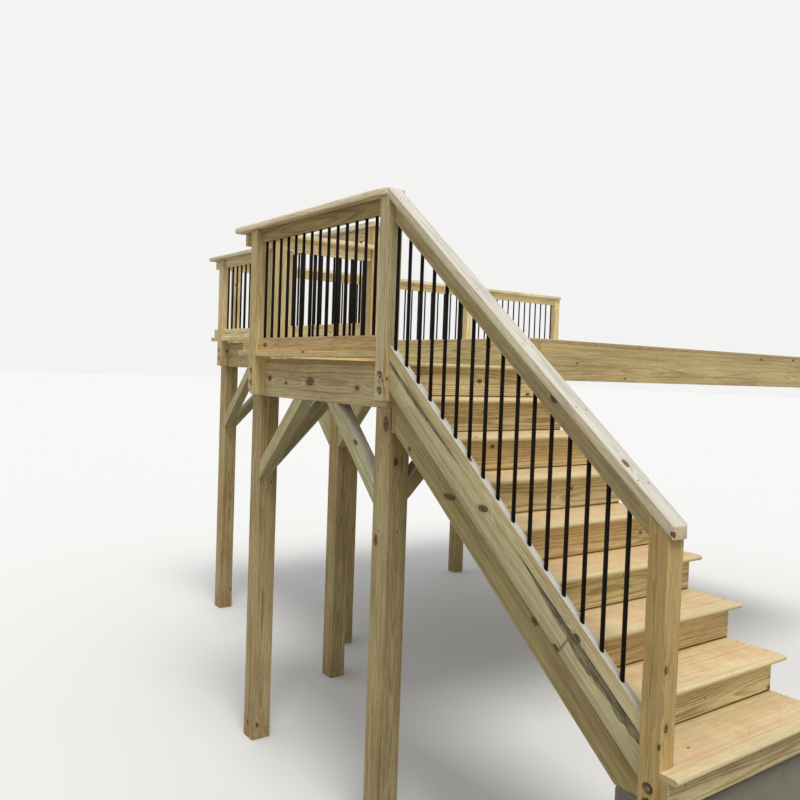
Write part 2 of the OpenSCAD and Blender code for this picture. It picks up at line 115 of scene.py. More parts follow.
class Graph:
    """The node tree of a material or of the room, filled one node at a time."""

    def __init__(self, owner):
        owner.use_nodes = True
        self.owner, self.tree = owner, owner.node_tree

    def put(self, socket, value):
        """Links a value to a socket, or sets the socket to a constant."""
        if isinstance(value, Value):
            self.tree.links.new(value.socket, socket)
        else:
            socket.default_value = value

    def node(self, kind, settings=None, inputs=()):
        """Adds one node and gives back its outputs."""
        made = self.tree.nodes.new(kind)
        for name, value in (settings or {}).items():
            setattr(made, name, value)
        pairs = inputs.items() if isinstance(inputs, dict) else enumerate(inputs)
        for key, value in pairs:
            self.put(made.inputs[key], value)
        return [Value(self, out) for out in made.outputs]

    def named(self, kind, out, settings=None, inputs=()):
        """The same, for the output of this name alone."""
        found = self.node(kind, settings, inputs)
        return next(v for v in found if v.socket.name == out and v.socket.enabled)

    def here(self):
        """The place on the object."""
        return self.named("ShaderNodeTexCoord", "Object")

    def point(self, x, y, z):
        return self.node("ShaderNodeCombineXYZ", {}, (x, y, z))[0]

    def split(self, vector):
        return self.node("ShaderNodeSeparateXYZ", {}, (vector,))

    def gap(self, place, centre):
        return self.node("ShaderNodeVectorMath", {"operation": "SUBTRACT"}, (place, centre))[0]

    def dot(self, one, other):
        return self.named("ShaderNodeVectorMath", "Value", {"operation": "DOT_PRODUCT"}, (one, other))

    def attribute(self, name, out="Fac"):
        return self.named("ShaderNodeAttribute", out, {"attribute_name": name})

    def noise(self, place, scale, detail=2.0, rough=0.5):
        sizes = {"Vector": place, "Scale": scale, "Detail": detail, "Roughness": rough}
        return self.named("ShaderNodeTexNoise", "Fac", {}, sizes)

    def mix(self, factor, a, b, blend="MIX"):
        """A colour between two others, or their product."""
        made = self.tree.nodes.new("ShaderNodeMix")
        made.data_type = "RGBA"
        made.blend_type = blend
        self.put(made.inputs[0], factor)
        self.put(made.inputs[6], a if isinstance(a, Value) else (*a, 1))
        self.put(made.inputs[7], b if isinstance(b, Value) else (*b, 1))
        return Value(self, made.outputs[2])

    def bump(self, height, strength, distance=1.0):
        relief = {"Strength": strength, "Distance": distance, "Height": height}
        return self.named("ShaderNodeBump", "Normal", {}, relief)

    def seen_directly(self):
        """1 where the eye, a reflection or glass looks, and 0 for soft light."""
        path = {out.socket.name: out for out in self.node("ShaderNodeLightPath")}
        looked_at = path["Is Camera Ray"].math("MAXIMUM", path["Is Glossy Ray"])
        return looked_at.math("MAXIMUM", path["Is Transmission Ray"])

    def finish(self, **sockets):
        """Sets the shader's sockets and gives back the finished material."""
        shader = self.tree.nodes["Principled BSDF"]
        for name, value in sockets.items():
            self.put(shader.inputs[name.replace("_", " ")], value)
        return self.owner


room = Graph(bpy.data.worlds.new("room"))
upwards = room.split(room.named("ShaderNodeTexCoord", "Generated"))[2]
soft = room.tree.nodes["Background"]
room.put(soft.inputs["Color"], (0.95, 0.975, 1.0, 1))
room.put(soft.inputs["Strength"], upwards.ramp(0.0, 1.0, 0.45, 0.76, step="LINEAR"))
pale = room.node("ShaderNodeBackground", {}, {"Color": (0.90, 0.90, 0.89, 1)})[0]
both = room.node("ShaderNodeMixShader", {}, (room.seen_directly(), Value(room, soft.outputs[0]), pale))
room.put(room.tree.nodes["World Output"].inputs["Surface"], both[0])
bpy.context.scene.world = room.owner

sun = bpy.data.lights.new("lamp", "SUN")
sun.energy = 1.8
sun.angle = math.radians(24)
sun.color = (1.0, 0.975, 0.93)
lamp = bpy.data.objects.new("lamp", sun)
lamp.rotation_euler = Vector((0.42, -0.14, 0.92)).to_track_quat("Z", "Y").to_euler()
bpy.context.scene.collection.objects.link(lamp)

paint = Graph(bpy.data.materials.new("floor_paint"))
floor_tone = paint.mix(paint.seen_directly(), (0.22, 0.20, 0.17), (0.82, 0.82, 0.81))
floor_reach = 150
floor_mesh = bpy.data.meshes.new("floor")
floor_mesh.from_pydata(
    [(x * floor_reach, y * floor_reach, 0) for x, y in ((-1, -1), (1, -1), (1, 1), (-1, 1))],
    [], [(0, 1, 2, 3)])
floor_mesh.materials.append(paint.finish(Base_Color=floor_tone, Roughness=0.9))
floor = bpy.data.objects.new("floor", floor_mesh)
bpy.context.scene.collection.objects.link(floor)


# Treads
# Planed pine planks with a half-round front edge, green-tinged from the treatment salts,
# each laid on the three stringers and screwed down. The lowest is notched round the newel.
class Wood(Graph):
    """The node tree of a board, with the place in its grain and what sawn() marks on it."""

    def __init__(self, name):
        super().__init__(bpy.data.materials.new(name))
        self.where = self.here()
        self.run, self.wide, self.deep = self.split(self.attribute("grain", "Vector"))
        self.tone, self.ends = self.attribute("tone"), self.attribute("cut_end")
        self.broad, self.up = self.attribute("broad_face"), self.attribute("faces_up")
        self.long_faces = ((self.wide, self.broad), (self.deep, 1.0 - self.broad))

    def grained(self, lengthwise, crosswise, detail=1.0, rough=0.5, shift=0.0):
        """Noise that turns so many times a metre along the grain and across it."""
        place = self.point(self.run * lengthwise + shift, self.wide * crosswise, self.deep * crosswise)
        return self.noise(place, 1.0, detail, rough)


def shaded(colour, *factors):
    """A colour with its red, green and blue each multiplied."""
    return tuple(part * factor for part, factor in zip(colour, factors))


def knot_distance(g, luck, knots, along):
    """How many of its radii away the nearest knot is: one by luck in each cell of a face,
    or one of the placed knots."""
    cell_long, cell_wide, cell_squeeze = 0.43, 0.085, 0.66
    smallest, growth, out_of_reach = 0.0035, 0.011, 60.0
    drawn_out = 0.62
    nearest = None
    for side, shown in g.long_faces:
        cell = g.point(g.run / cell_long, side / cell_wide, g.tone * 7.0)
        cells = g.node("ShaderNodeTexVoronoi", {"voronoi_dimensions": "2D", "feature": "F1"},
                       {"Vector": cell, "Scale": 1.0})
        found = {out.socket.name: out for out in cells}
        cell_x, cell_y, _ = g.split(found["Position"])
        draw, size, _ = g.node("ShaderNodeSeparateColor", {}, (found["Color"],))
        off_long = (g.run / cell_long - cell_x) * (cell_long * cell_squeeze)
        off_side = (side / cell_wide - cell_y) * cell_wide
        radius = size * size * growth + smallest
        away = ((off_long * off_long + off_side * off_side) ** 0.5) / radius
        none_here = draw.ramp(luck - 0.01, luck + 0.01) + (1.0 - shown) + g.ends
        away = away + none_here * out_of_reach
        nearest = away if nearest is None else nearest.math("MINIMUM", away)
    for x, y, z, radius, *own_way in knots:
        gap = g.gap(g.where, (x, y, z))
        run = g.dot(gap, own_way[0] if own_way else along)
        away = ((g.dot(gap, gap) - run * run * drawn_out).math("MAXIMUM", 0.0) ** 0.5) / radius
        nearest = nearest.math("MINIMUM", away)
    return nearest


def drying_cracks(g):
    """1 in the thin cracks that open along the middle of a face, here and there."""
    crack = None
    for side, shown in g.long_faces:
        wander = g.noise(g.point(g.run * 1.3, g.tone * 13.0, shown * 5.0), 1.0, 3.0)
        open_here = g.noise(g.point(g.run * 1.1, g.tone * 29.0, shown * 9.0), 1.0, 1.0)
        line = (side + (wander - 0.5) * 0.035).math("ABSOLUTE").ramp(0.0015, 0.0004)
        line = line * open_here.ramp(0.47, 0.53) * shown * (1.0 - g.ends)
        crack = line if crack is None else crack.math("MAXIMUM", line)
    return crack


def pine(name, body, green=0.3, ring=0.0052, contrast=0.55, knots=(), along=(1, 0, 0), luck=0.30,
         bleached_and_sunlit=0.0, split=0.0, stain=None):
    """Sawn pine of one average colour: rings round a pith, fibres, knots, salts and dirt.
    Knots are (x, y, z, radius), drawn out along the board or along a fifth entry; luck is
    the share of spots with a chance knot; bleached_and_sunlit paints what looks up paler,
    partly as sun bleaching and partly as painted sunlight; split opens drying cracks near
    the heart; stain paints over the whole."""
    g = Wood(name)
    near = knot_distance(g, luck, knots, along)
    ragged = near + (g.grained(60.0, 90.0) - 0.5) * 0.5
    heart = ragged.ramp(0.86, 0.66)
    bark = ragged.ramp(1.16, 0.98) * (1.0 - heart * 0.75)
    halo = near.ramp(2.3, 1.0)
    swirl = 1.0 / (near * near * 0.30 + 1.0)

    off_wide = g.wide + (g.grained(0.9, 2.0) - 0.5) * 0.055
    off_deep = g.deep + (g.grained(0.9, 2.0, shift=31.0) - 0.5) * 0.055
    fine = g.grained(3.0, 34.0, 2.0)
    radius = (off_wide * off_wide + off_deep * off_deep) ** 0.5
    radius = radius + (fine - 0.5) * 0.0035 + swirl * 0.013
    uneven = g.noise(g.point(radius * 26.0, 0.0, g.tone * 9.0), 1.0, 1.0)
    phase = (radius / ring + uneven * 2.4).math("FRACT")
    band = phase.ramp(0.30, 0.86) * phase.ramp(1.0, 0.93)
    year = g.noise(g.point(radius * 70.0, g.run * 0.25, g.tone * 5.0), 1.0, 1.0)
    fibre = g.grained(5.0, 420.0, 2.0, 0.6)
    streak = g.grained(1.4, 60.0, 4.0, 0.68)
    cloud = g.grained(2.2, 7.0, 2.0)

    early, late = shaded(body, 1.16, 1.17, 1.20), shaded(body, 0.66, 0.56, 0.44)
    depth = band * contrast + (year - 0.5) * 1.5 + (streak - 0.5) * 3.0 + (fibre - 0.5) * 0.8
    depth = depth.math("ADD", 0.36 - contrast * 0.4, clamp=True)
    colour = g.mix(depth, early, late)
    salts = ((cloud - 0.42) * 2.6).math("MULTIPLY", green, clamp=True)
    colour = g.mix(salts, colour, shaded(body, 0.70, 0.90, 0.82))
    green_run = g.grained(3.0, 22.0, 3.0, 0.6, shift=17.0).ramp(0.60, 0.74)
    colour = g.mix(green_run * green * 0.9, colour, shaded(body, 0.58, 0.84, 0.88))
    warm = ((g.tone - 0.5) * 0.9 + (streak - 0.5) * 0.6).math("MULTIPLY", 0.7, clamp=True)
    colour = g.mix(warm, colour, shaded(body, 1.04, 0.82, 0.60))
    fuzz = g.grained(12.0, 110.0, 4.0, 0.68)
    shade = (g.tone * 5.3).math("FRACT") * 0.16 + cloud * 0.80 + fuzz * 0.90 + 0.07
    colour = g.mix(1.0, colour, shade, "MULTIPLY")
    colour = g.mix(g.ends * 0.55, colour, shaded(body, 0.74, 0.66, 0.55))
    # Faces that look up are painted paler: partly sun bleaching, partly painted sunlight.
    if bleached_and_sunlit:
        colour = g.mix(g.up * bleached_and_sunlit, colour, g.mix(depth, (0.69, 0.67, 0.60), (0.53, 0.49, 0.40)))
    if stain:
        colour = stain(g, colour)

    colour = g.mix(halo * 0.42, colour, shaded(body, 0.62, 0.46, 0.28))
    rot = g.grained(110.0, 110.0, 3.0, 0.7)
    eye = (near + (rot - 0.5) * 1.1).ramp(0.24, 0.52)
    colour = g.mix(heart * 0.9, colour, g.mix(eye, (0.036, 0.019, 0.008), (0.19, 0.110, 0.044)))
    colour = g.mix(heart * rot.ramp(0.54, 0.62) * 0.7, colour, (0.018, 0.011, 0.006))
    colour = g.mix(bark * 0.9, colour, (0.036, 0.022, 0.010))
    height = band * 0.0004 + fibre * 0.0003 + (streak - 0.5) * 0.0005 - bark * 0.0006 + heart * 0.0002
    if split:
        crack = drying_cracks(g)
        colour = g.mix(crack * split, colour, shaded(body, 0.16, 0.13, 0.10))
        height = height - crack * 0.0015
    rough = (fibre - 0.5) * 0.16 + 0.70 - band * 0.07 - heart * 0.14
    return g.finish(Base_Color=colour, Roughness=rough, Normal=g.bump(height, 0.7),
                    Specular_IOR_Level=0.28)


same_place = 0.00002


def islands(shape):
    """The separate solids of a mesh being edited, each as a list of its vertices, in order
    of their middles. The order is the same on every run."""
    seen, found = set(), []
    for first in shape.verts:
        if first in seen:
            continue
        seen.add(first)
        todo, group = [first], []
        while todo:
            vert = todo.pop()
            group.append(vert)
            for edge in vert.link_edges:
                other = edge.other_vert(vert)
                if other not in seen:
                    seen.add(other)
                    todo.append(other)
        found.append(group)
    found.sort(key=lambda group: tuple(
        round(sum(v.co[i] for v in group) / len(group), 3) for i in (0, 1, 2)))
    return found


def lie_of(board):
    """How the board with these vertices lies: along its longest edge, across its widest
    face, through that face, and its middle. Among equal faces the one across Y leads."""
    edges = list(dict.fromkeys(e for v in board for e in v.link_edges))
    faces = list(dict.fromkeys(f for v in board for f in v.link_faces))
    longest = max(edges, key=lambda e: round(e.calc_length(), 4))
    along = (longest.verts[1].co - longest.verts[0].co).normalized()
    if max(along, key=abs) < 0:
        along.negate()
    flats = [f for f in faces if abs(f.normal.dot(along)) < 0.05]
    widest = max(flats, key=lambda f: (round(f.calc_area(), 5), round(abs(f.normal.y), 2)))
    through = widest.normal.copy()
    if max(through, key=abs) < 0:
        through.negate()
    middle = sum((v.co for v in board), Vector()) / len(board)
    return along, through.cross(along).normalized(), through, middle


def pith_of(board, lie, heart, dice):
    """Where the tree's pith runs beside a board's middle, across and through: inside a post
    or another square stick, and outside one broad face of a plank."""
    _, wide, through, middle = lie
    half_wide = max(abs((v.co - middle).dot(wide)) for v in board)
    half_thick = max(abs((v.co - middle).dot(through)) for v in board)
    if heart or half_wide / half_thick < 1.25:
        return dice.uniform(-0.3, 0.3) * half_wide, dice.uniform(-0.3, 0.3) * half_thick
    return (dice.uniform(-0.5, 0.5) * half_wide,
            dice.choice((-1, 1)) * (half_thick + dice.uniform(0.012, 0.06)))


def mark_grain(mesh, boards):
    """Writes on a mesh what the wood's material reads: the place in the grain, each board's
    tone, and which faces are cut ends, broad faces or look up."""
    numbers = [0] * len(mesh.vertices)
    mesh.attributes["board"].data.foreach_get("value", numbers)
    mesh.attributes.remove(mesh.attributes["board"])
    grain, tone = [], []
    for vert, number in zip(mesh.vertices, numbers):
        (along, wide, through, middle), pith, start, shade = boards[number]
        off = vert.co - middle
        grain += (off.dot(along) + start, off.dot(wide) - pith[0], off.dot(through) - pith[1])
        tone.append(shade)
    ends, broad, up = [], [], []
    for poly in mesh.polygons:
        along, _, through, _ = boards[numbers[poly.vertices[0]]][0]
        ends.append(float(abs(poly.normal.dot(along)) > 0.75))
        broad.append(float(abs(poly.normal.dot(through)) > 0.7))
        up.append(max(0.0, min(1.0, poly.normal.z * 2.5 - 0.9)))
    mesh.attributes.new("grain", "FLOAT_VECTOR", "POINT").data.foreach_set("vector", grain)
    mesh.attributes.new("tone", "FLOAT", "POINT").data.foreach_set("value", tone)
    for label, values in (("cut_end", ends), ("broad_face", broad), ("faces_up", up)):
        mesh.attributes.new(label, "FLOAT", "FACE").data.foreach_set("value", values)


def rigid(name, shape, material):
    """Turns an edited mesh into a piece that rides with the whole."""
    mesh = bpy.data.meshes.new(name)
    shape.to_mesh(mesh)
    shape.free()
    mesh.materials.append(material)
    piece = bpy.data.objects.new(name, mesh)
    bpy.context.scene.collection.objects.link(piece)
    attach(piece, "root")
    return piece


def sawn(name, shape, material, seed, ease=0.0028, segments=2, heart=False):
    """Makes a piece of the boards in shape: edges eased, and each board given a grain of
    its own that runs along its longest edge."""
    bmesh.ops.remove_doubles(shape, verts=shape.verts, dist=same_place)
    bmesh.ops.dissolve_limit(shape, angle_limit=0.01, verts=shape.verts, edges=shape.edges)
    bmesh.ops.recalc_face_normals(shape, faces=shape.faces)
    layer = shape.verts.layers.int.new("board")
    dice = random.Random(seed)
    boards = []
    for number, board in enumerate(islands(shape)):
        lie = lie_of(board)
        boards.append((lie, pith_of(board, lie, heart, dice), dice.uniform(0, 40), dice.random()))
        for v in board:
            v[layer] = number
    corner, shortest, round_bends = 0.5, 0.016, (0.05, 0.30)
    sharp = [e for e in shape.edges if len(e.link_faces) == 2 and e.calc_face_angle(0) > corner
             and e.calc_length() > shortest]
    rounded = bmesh.ops.bevel(shape, geom=sharp, offset=ease, segments=segments, profile=0.5,
                              affect="EDGES", clamp_overlap=True)
    for face in rounded["faces"]:
        face.smooth = True
    for face in shape.faces:
        bends = [e.calc_face_angle(0) for e in face.edges if len(e.link_faces) == 2]
        if sum(1 for bend in bends if round_bends[0] < bend < round_bends[1]) >= 2:
            face.smooth = True
    piece = rigid(name, shape, material)
    mark_grain(piece.data, boards)
    return piece


def from_frame(*nodes, hull=False):
    """The boards of these CAD nodes, copied for easing; hull closes the sockets in rails."""
    shape = bmesh.new()
    for node in nodes:
        shape.from_mesh(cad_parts[node].data)
    if not hull:
        return shape
    bmesh.ops.remove_doubles(shape, verts=shape.verts, dist=same_place)
    closed_up = bmesh.new()
    for board in islands(shape):
        part = bmesh.new()
        for v in board:
            part.verts.new(v.co)
        bmesh.ops.convex_hull(part, input=part.verts)
        inner = [v for v in part.verts if not v.link_faces]
        bmesh.ops.delete(part, geom=inner, context="VERTS")
        copy = bpy.data.meshes.new("part")
        part.to_mesh(copy)
        part.free()
        closed_up.from_mesh(copy)
        bpy.data.meshes.remove(copy)
    shape.free()
    return closed_up


going, ahead_of_flight = 0.229, 2.031


def trodden(g, colour):
    """A greener front edge, and red clay and grit trodden over the rest of a tread."""
    x, y, z = g.split(g.where)
    behind = ((ahead_of_flight - x) / going).math("FRACT") * going
    ragged = g.noise(g.point(x * 9.0, y * 5.0, z), 1.0, 3.0)
    front = (behind + (ragged - 0.5) * 0.06).ramp(0.085, 0.035)
    colour = g.mix(front.math("MAXIMUM", 1.0 - g.up) * 0.55, colour, (0.68, 0.60, 0.34))
    colour = g.mix(g.up * (1.0 - front) * 0.55, colour, (0.74, 0.565, 0.33))
    clay = g.noise(g.point(x * 7.0, y * 7.0, z * 7.0), 1.0, 5.0, 0.68).ramp(0.40, 0.66)
    colour = g.mix(clay * g.up * (1.0 - front * 0.7) * 0.50, colour, (0.60, 0.385, 0.215))
    grit = g.noise(g.point(x * 95.0, y * 70.0, z), 1.0, 2.0).ramp(0.66, 0.73)
    patch = g.noise(g.point(x * 5.0, y * 5.0, z), 1.0, 2.0).ramp(0.42, 0.60)
    return g.mix(grit * patch * g.up * 0.7, colour, (0.19, 0.11, 0.055))


tread_pine = pine("tread_pine", (0.70, 0.535, 0.30), green=0.25, luck=0.10, contrast=0.40, stain=trodden)
lowest = sawn("lowest_tread", from_frame("bottom_tread"), tread_pine, 11)
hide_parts("bottom_tread")
upper = sawn("upper_treads", from_frame("treads"), tread_pine, 12)
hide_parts("treads")


# Risers
# Framing boards on edge behind each tread, nailed through into the cuts of the stringers;
# a rebate along the foot leaves the open joint where each meets the tread below it.
def solids_of(node):
    """Low and high corners of the separate solids in a CAD node, in order along X, Y, Z."""
    shape = from_frame(node)
    bmesh.ops.remove_doubles(shape, verts=shape.verts, dist=same_place)
    boxes = [(Vector([min(v.co[i] for v in group) for i in (0, 1, 2)]),
              Vector([max(v.co[i] for v in group) for i in (0, 1, 2)])) for group in islands(shape)]
    shape.free()
    return boxes


riser_knots = ((0.161, 0.491, 2.65, 0.012), (0.161, 0.884, 2.577, 0.009))
riser_pine = pine("riser_pine", (0.65, 0.515, 0.27), green=0.45, ring=0.0085, contrast=1.15,
                  knots=riser_knots, along=(0, 1, 0), luck=0.14)
first_riser = sawn("lowest_riser", from_frame("bottom_riser"), riser_pine, 21)
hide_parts("bottom_riser")
thick_of_tread, crack_high, crack_deep, crack_end = 0.025, 0.0055, 0.020, 0.006
shape = bmesh.new()
for low, high in solids_of("risers"):
    sill, inside, stop = low.z + thick_of_tread + crack_high, high.x - crack_deep, high.y - crack_end
    a0, b0, c0, d0, e0, f0, a1, g1, e1, f1, b2, c2, d2, g2 = [shape.verts.new(at) for at in (
        (low.x, low.y, low.z), (inside, low.y, low.z), (inside, low.y, sill), (high.x, low.y, sill),
        (high.x, low.y, high.z), (low.x, low.y, high.z), (low.x, high.y, low.z),
        (high.x, high.y, low.z), (high.x, high.y, high.z), (low.x, high.y, high.z),
        (inside, stop, low.z), (inside, stop, sill), (high.x, stop, sill), (high.x, stop, low.z))]
    for corners in (
            (a0, b0, c0, d0, e0, f0), (f1, e1, g1, a1), (b2, g2, d2, c2), (a0, a1, g1, g2, b2, b0),
            (b0, b2, c2, c0), (c0, c2, d2, d0), (d0, d2, g2, g1, e1, e0), (e0, e1, f1, f0),
            (f0, f1, a1, a0)):
        shape.faces.new(corners)
rest = sawn("upper_risers", shape, riser_pine, 22)
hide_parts("risers")

# Stringers, skirt and hanger
# Wide boards sawn in steps, a long skirt nailed on the outer one's face, and the board on
# the landing's rim that carries their upper ends. Bark is left along the skirt's top edge.
rise = 0.184
slope = rise / going
plumb = math.sqrt(1 + slope * slope)
downhill = Vector((1, 0, -slope)).normalized()


def bark_edge(g, colour):
    """Dark wane, streaked along the board, where the sawn corner is missing, and a short
    stain across the skirt below it."""
    x, _, z = g.split(g.where)
    rough = g.noise(g.point(x * 14.0, 0.0, (z + x * slope) * 75.0), 1.0, 4.0, 0.65)
    wane = g.mix(rough.ramp(0.36, 0.66), (0.095, 0.070, 0.036), (0.34, 0.295, 0.18))
    colour = g.mix(g.attribute("bark") * 0.94, colour, wane)
    gap = g.gap(g.where, (1.446, -0.1245, 1.588))
    run = g.dot(gap, Vector((0.62, 0.0, 0.785)).normalized())
    off = (g.dot(gap, gap) - run * run).math("MAXIMUM", 0.0) ** 0.5 + (rough - 0.5) * 0.006
    line = off.ramp(0.0085, 0.0035) * run.math("ABSOLUTE").ramp(0.072, 0.058)
    return g.mix(line * 0.75, colour, (0.19, 0.145, 0.078))


rail_x, rail_z = 0.085, 2.859


def rail_line(x, below=0.0):
    """Height of the lower rail's top edge at x, or of a line square below it."""
    return rail_z - slope * (x - rail_x) - below * plumb


stringer_knots = ((0.607, -0.07, 2.075, 0.0145, Vector((1.2, 0, 0))), (1.224, -0.07, 1.618, 0.013))
stringer_pine = pine("stringer_pine", (0.52, 0.41, 0.19), green=0.5, ring=0.006,
                     knots=stringer_knots, along=downhill, luck=0.05)
for seed, side in enumerate(("outer", "middle", "inner")):
    cut = sawn("cut_stringer_" + side, from_frame("stringer_" + side), stringer_pine, 31 + seed)
    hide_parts("stringer_" + side)

# The skirt is cut to the photo's width, and its outer half is rebuilt station by station,
# with the corner missing as wide as the bark is there.
skirt_knots = ((1.402, -0.1245, 1.560, 0.0115),
               (0.919, -0.1245, 2.070, 0.0155, Vector((1.1, 0, -0.05))))
skirt_pine = pine("skirt_pine", (0.72, 0.655, 0.395), green=0.6, ring=0.006, knots=skirt_knots,
                  along=downhill, luck=0.05, stain=bark_edge)
rail_face, skirt_low, cad_rail, cad_low = 0.0625, 0.190, 0.089, 0.215
hair, match = 0.0005, 0.002
shape = from_frame("skirt_board")
for v in shape.verts:
    below = (rail_line(v.co.x) - v.co.z) / plumb
    if abs(below - cad_low) < match:
        v.co.z += (cad_low - skirt_low) * plumb
    elif abs(below - cad_rail) < match:
        v.co.z += (cad_rail - rail_face - hair) * plumb
bark = shape.faces.layers.int.new("bark")
bark_widths = (
    (0.125, 0.020), (0.18, 0.024), (0.26, 0.027), (0.31, 0.033), (0.38, 0.034), (0.45, 0.027),
    (0.53, 0.022), (0.60, 0.016), (0.68, 0.010), (0.74, 0.0), (1.15, 0.0), (1.17, 0.006),
    (1.285, 0.026), (1.355, 0.038), (1.46, 0.050), (1.52, 0.066), (1.57, 0.068), (1.635, 0.056),
    (1.75, 0.060), (1.83, 0.050), (1.87, 0.046))
head_x, foot_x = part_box("top_newel")[1].x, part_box("bottom_newel")[0].x
front_y, back_y = -0.1245, -0.1085
stations, deepest_wane, raggedness = 72, 0.013, 0.12
dice = random.Random(3)
rings = []
for i in range(stations + 1):
    x = head_x + (foot_x - head_x) * i / stations
    before = max((p for p in bark_widths if p[0] <= x + 1e-6), key=lambda p: p[0])
    after = min((p for p in bark_widths if p[0] > x), key=lambda p: p[0])
    wane = before[1] + (after[1] - before[1]) * (x - before[0]) / (after[0] - before[0])
    wane = max(0.0, wane + dice.uniform(-raggedness, raggedness) * wane)
    top, low = rail_line(x, rail_face + hair), rail_line(x, skirt_low)
    rings.append([shape.verts.new(p) for p in (
        (x, front_y, low), (x, front_y, top - wane - hair),
        (x, front_y + min(0.30 * wane, deepest_wane), top), (x, back_y, top), (x, back_y, low))])
for one, two in zip(rings, rings[1:]):
    for k in range(5):
        face = shape.faces.new([one[k], two[k], two[(k + 1) % 5], one[(k + 1) % 5]])
        if k == 1 and (one[2].co.y - front_y) + (two[2].co.y - front_y) > 0.0006:
            face[bark] = 1
shape.faces.new(rings[0])
shape.faces.new(list(reversed(rings[-1])))
skirt = sawn("skirt", shape, skirt_pine, 36, ease=0.0014)
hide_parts("skirt_board")
hanger = sawn("hanger", from_frame("hanger_board"), stringer_pine, 37)
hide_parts("hanger_board")

# Stair railing posts
# Square newels with the heart boxed in, the outer half of each running down as a tab that
# two bolts hold, their heads sunk in counterbores. A dark gap is left under each cap.
under_cap, upper_part = 0.0025, 1.0


def post(name, node, material, seed):
    """Like posts in one piece, each cut a little short of the cap above it."""
    shape = from_frame(node)
    bmesh.ops.remove_doubles(shape, verts=shape.verts, dist=same_place)
    for board in islands(shape):
        foot = min(v.co.z for v in board)
        for v in board:
            if v.co.z > foot + upper_part:
                v.co.z -= under_cap
    piece = sawn(name, shape, material, seed, heart=True)
    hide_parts(node)


upright = Vector((0, 0, 1))
foot_knots = ((1.955, -0.142, 1.646, 0.0085), (1.955, -0.125, 1.429, 0.010),
              (1.953, -0.159, 1.366, 0.007))
foot_pine = pine("foot_pine", (0.56, 0.42, 0.185), green=0.45, contrast=0.7, knots=foot_knots,
                 along=upright, luck=0.0, split=0.35)
head_knots = ((0.08, -0.159, 2.63, 0.0055), (0.112, -0.159, 2.638, 0.0065),
              (0.125, -0.14, 2.648, 0.0055))
head_pine = pine("head_pine", (0.72, 0.60, 0.34), green=0.6, knots=head_knots, along=upright, luck=0.0)
corner_pine = pine("corner_pine", (0.72, 0.575, 0.29), green=0.30, luck=0.12)
post("foot_newel", "bottom_newel", foot_pine, 41)
post("head_newel", "top_newel", head_pine, 42)
post("corner_newel", "landing_corner_post", corner_pine, 43)

# Rails and caps
# Rails on edge, drilled for the balusters, and flat caps with rounder edges. The caps' tops
# and the lower stair rail's top are painted nearly white, partly as sun bleaching and partly
# as painted sunlight.
foot_rail_pine = pine("foot_rail_pine", (0.72, 0.63, 0.375), green=0.5, luck=0.05, bleached_and_sunlit=1.0,
                      knots=((1.518, -0.126, 1.637, 0.012),), along=downhill)
rail_pine = pine("rail_pine", (0.54, 0.455, 0.24), green=0.45, luck=0.0,
                 knots=((1.335, -0.126, 2.60, 0.012),), along=downhill)
low_pine = pine("low_rail_pine", (0.71, 0.52, 0.235), green=0.25, luck=0.0,
                knots=((-1.37, -0.126, 2.837, 0.0135),))
# The landing's upper rail gets a darker pine as painted shade under its cap.
shaded_landing_rail_pine = pine("top_rail_pine", (0.45, 0.34, 0.145), green=0.35, ring=0.008, contrast=0.8, luck=0.0)
level_pine = pine("level_rail_pine", (0.68, 0.545, 0.27), green=0.35, ring=0.007, luck=0.08)
far_pine = pine("far_rail_pine", (0.86, 0.72, 0.42), green=0.20, luck=0.06)
cap_knots = ((1.726, -0.13, 2.375, 0.012), (1.969, -0.156, 2.146, 0.0085))
cap_pine = pine("cap_pine", (0.87, 0.775, 0.54), green=0.30, knots=cap_knots, along=downhill,
                luck=0.10, bleached_and_sunlit=0.92)
# The level caps get a paler pine, painted light that brightens their near sides.
level_cap_pine = pine("level_cap_pine", (0.97, 0.88, 0.65), green=0.20, luck=0.10, bleached_and_sunlit=0.92)


def lowered(shape, fall, by):
    """Lowers the top face of a board that falls by so much a metre towards +X."""
    crown = max(v.co.z + fall * v.co.x for v in shape.verts)
    for v in shape.verts:
        if v.co.z + fall * v.co.x > crown - match:
            v.co.z -= by


for seed, (name, node, wood) in enumerate((
        ("sloping_upper_rail", "stair_top_rail", rail_pine),
        ("sloping_lower_rail", "stair_bottom_rail", foot_rail_pine),
        ("landing_upper_rail", "landing_top_rail", shaded_landing_rail_pine),
        ("landing_lower_rail", "landing_bottom_rail", low_pine),
        ("landing_flat_board", "landing_foot_board", level_pine))):
    shape = from_frame(node, hull=True)
    if node == "stair_top_rail":
        lowered(shape, slope, under_cap)
    elif node == "landing_top_rail":
        lowered(shape, 0.0, under_cap)
    elif node == "stair_bottom_rail":
        for v in shape.verts:
            if rail_line(v.co.x) - v.co.z > 0.05:
                v.co.z = rail_line(v.co.x, rail_face)
    rail = sawn(name, shape, wood, 51 + seed, ease=0.0014 if node == "stair_bottom_rail" else 0.0028)
    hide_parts(node)
for seed, (name, node, wood) in enumerate((
        ("sloping_cap", "stair_cap", cap_pine), ("level_cap", "landing_cap", level_cap_pine),
        ("side_cap_board", "side_cap", level_cap_pine), ("front_cap_board", "front_cap", level_cap_pine),
        ("far_cap_board", "far_cap", level_cap_pine))):
    shape = from_frame(node)
    if node in ("front_cap", "far_cap"):
        lowered(shape, 0.0, hair)
    cap = sawn(name, shape, wood, 61 + seed, ease=0.0055, segments=3)
    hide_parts(node)

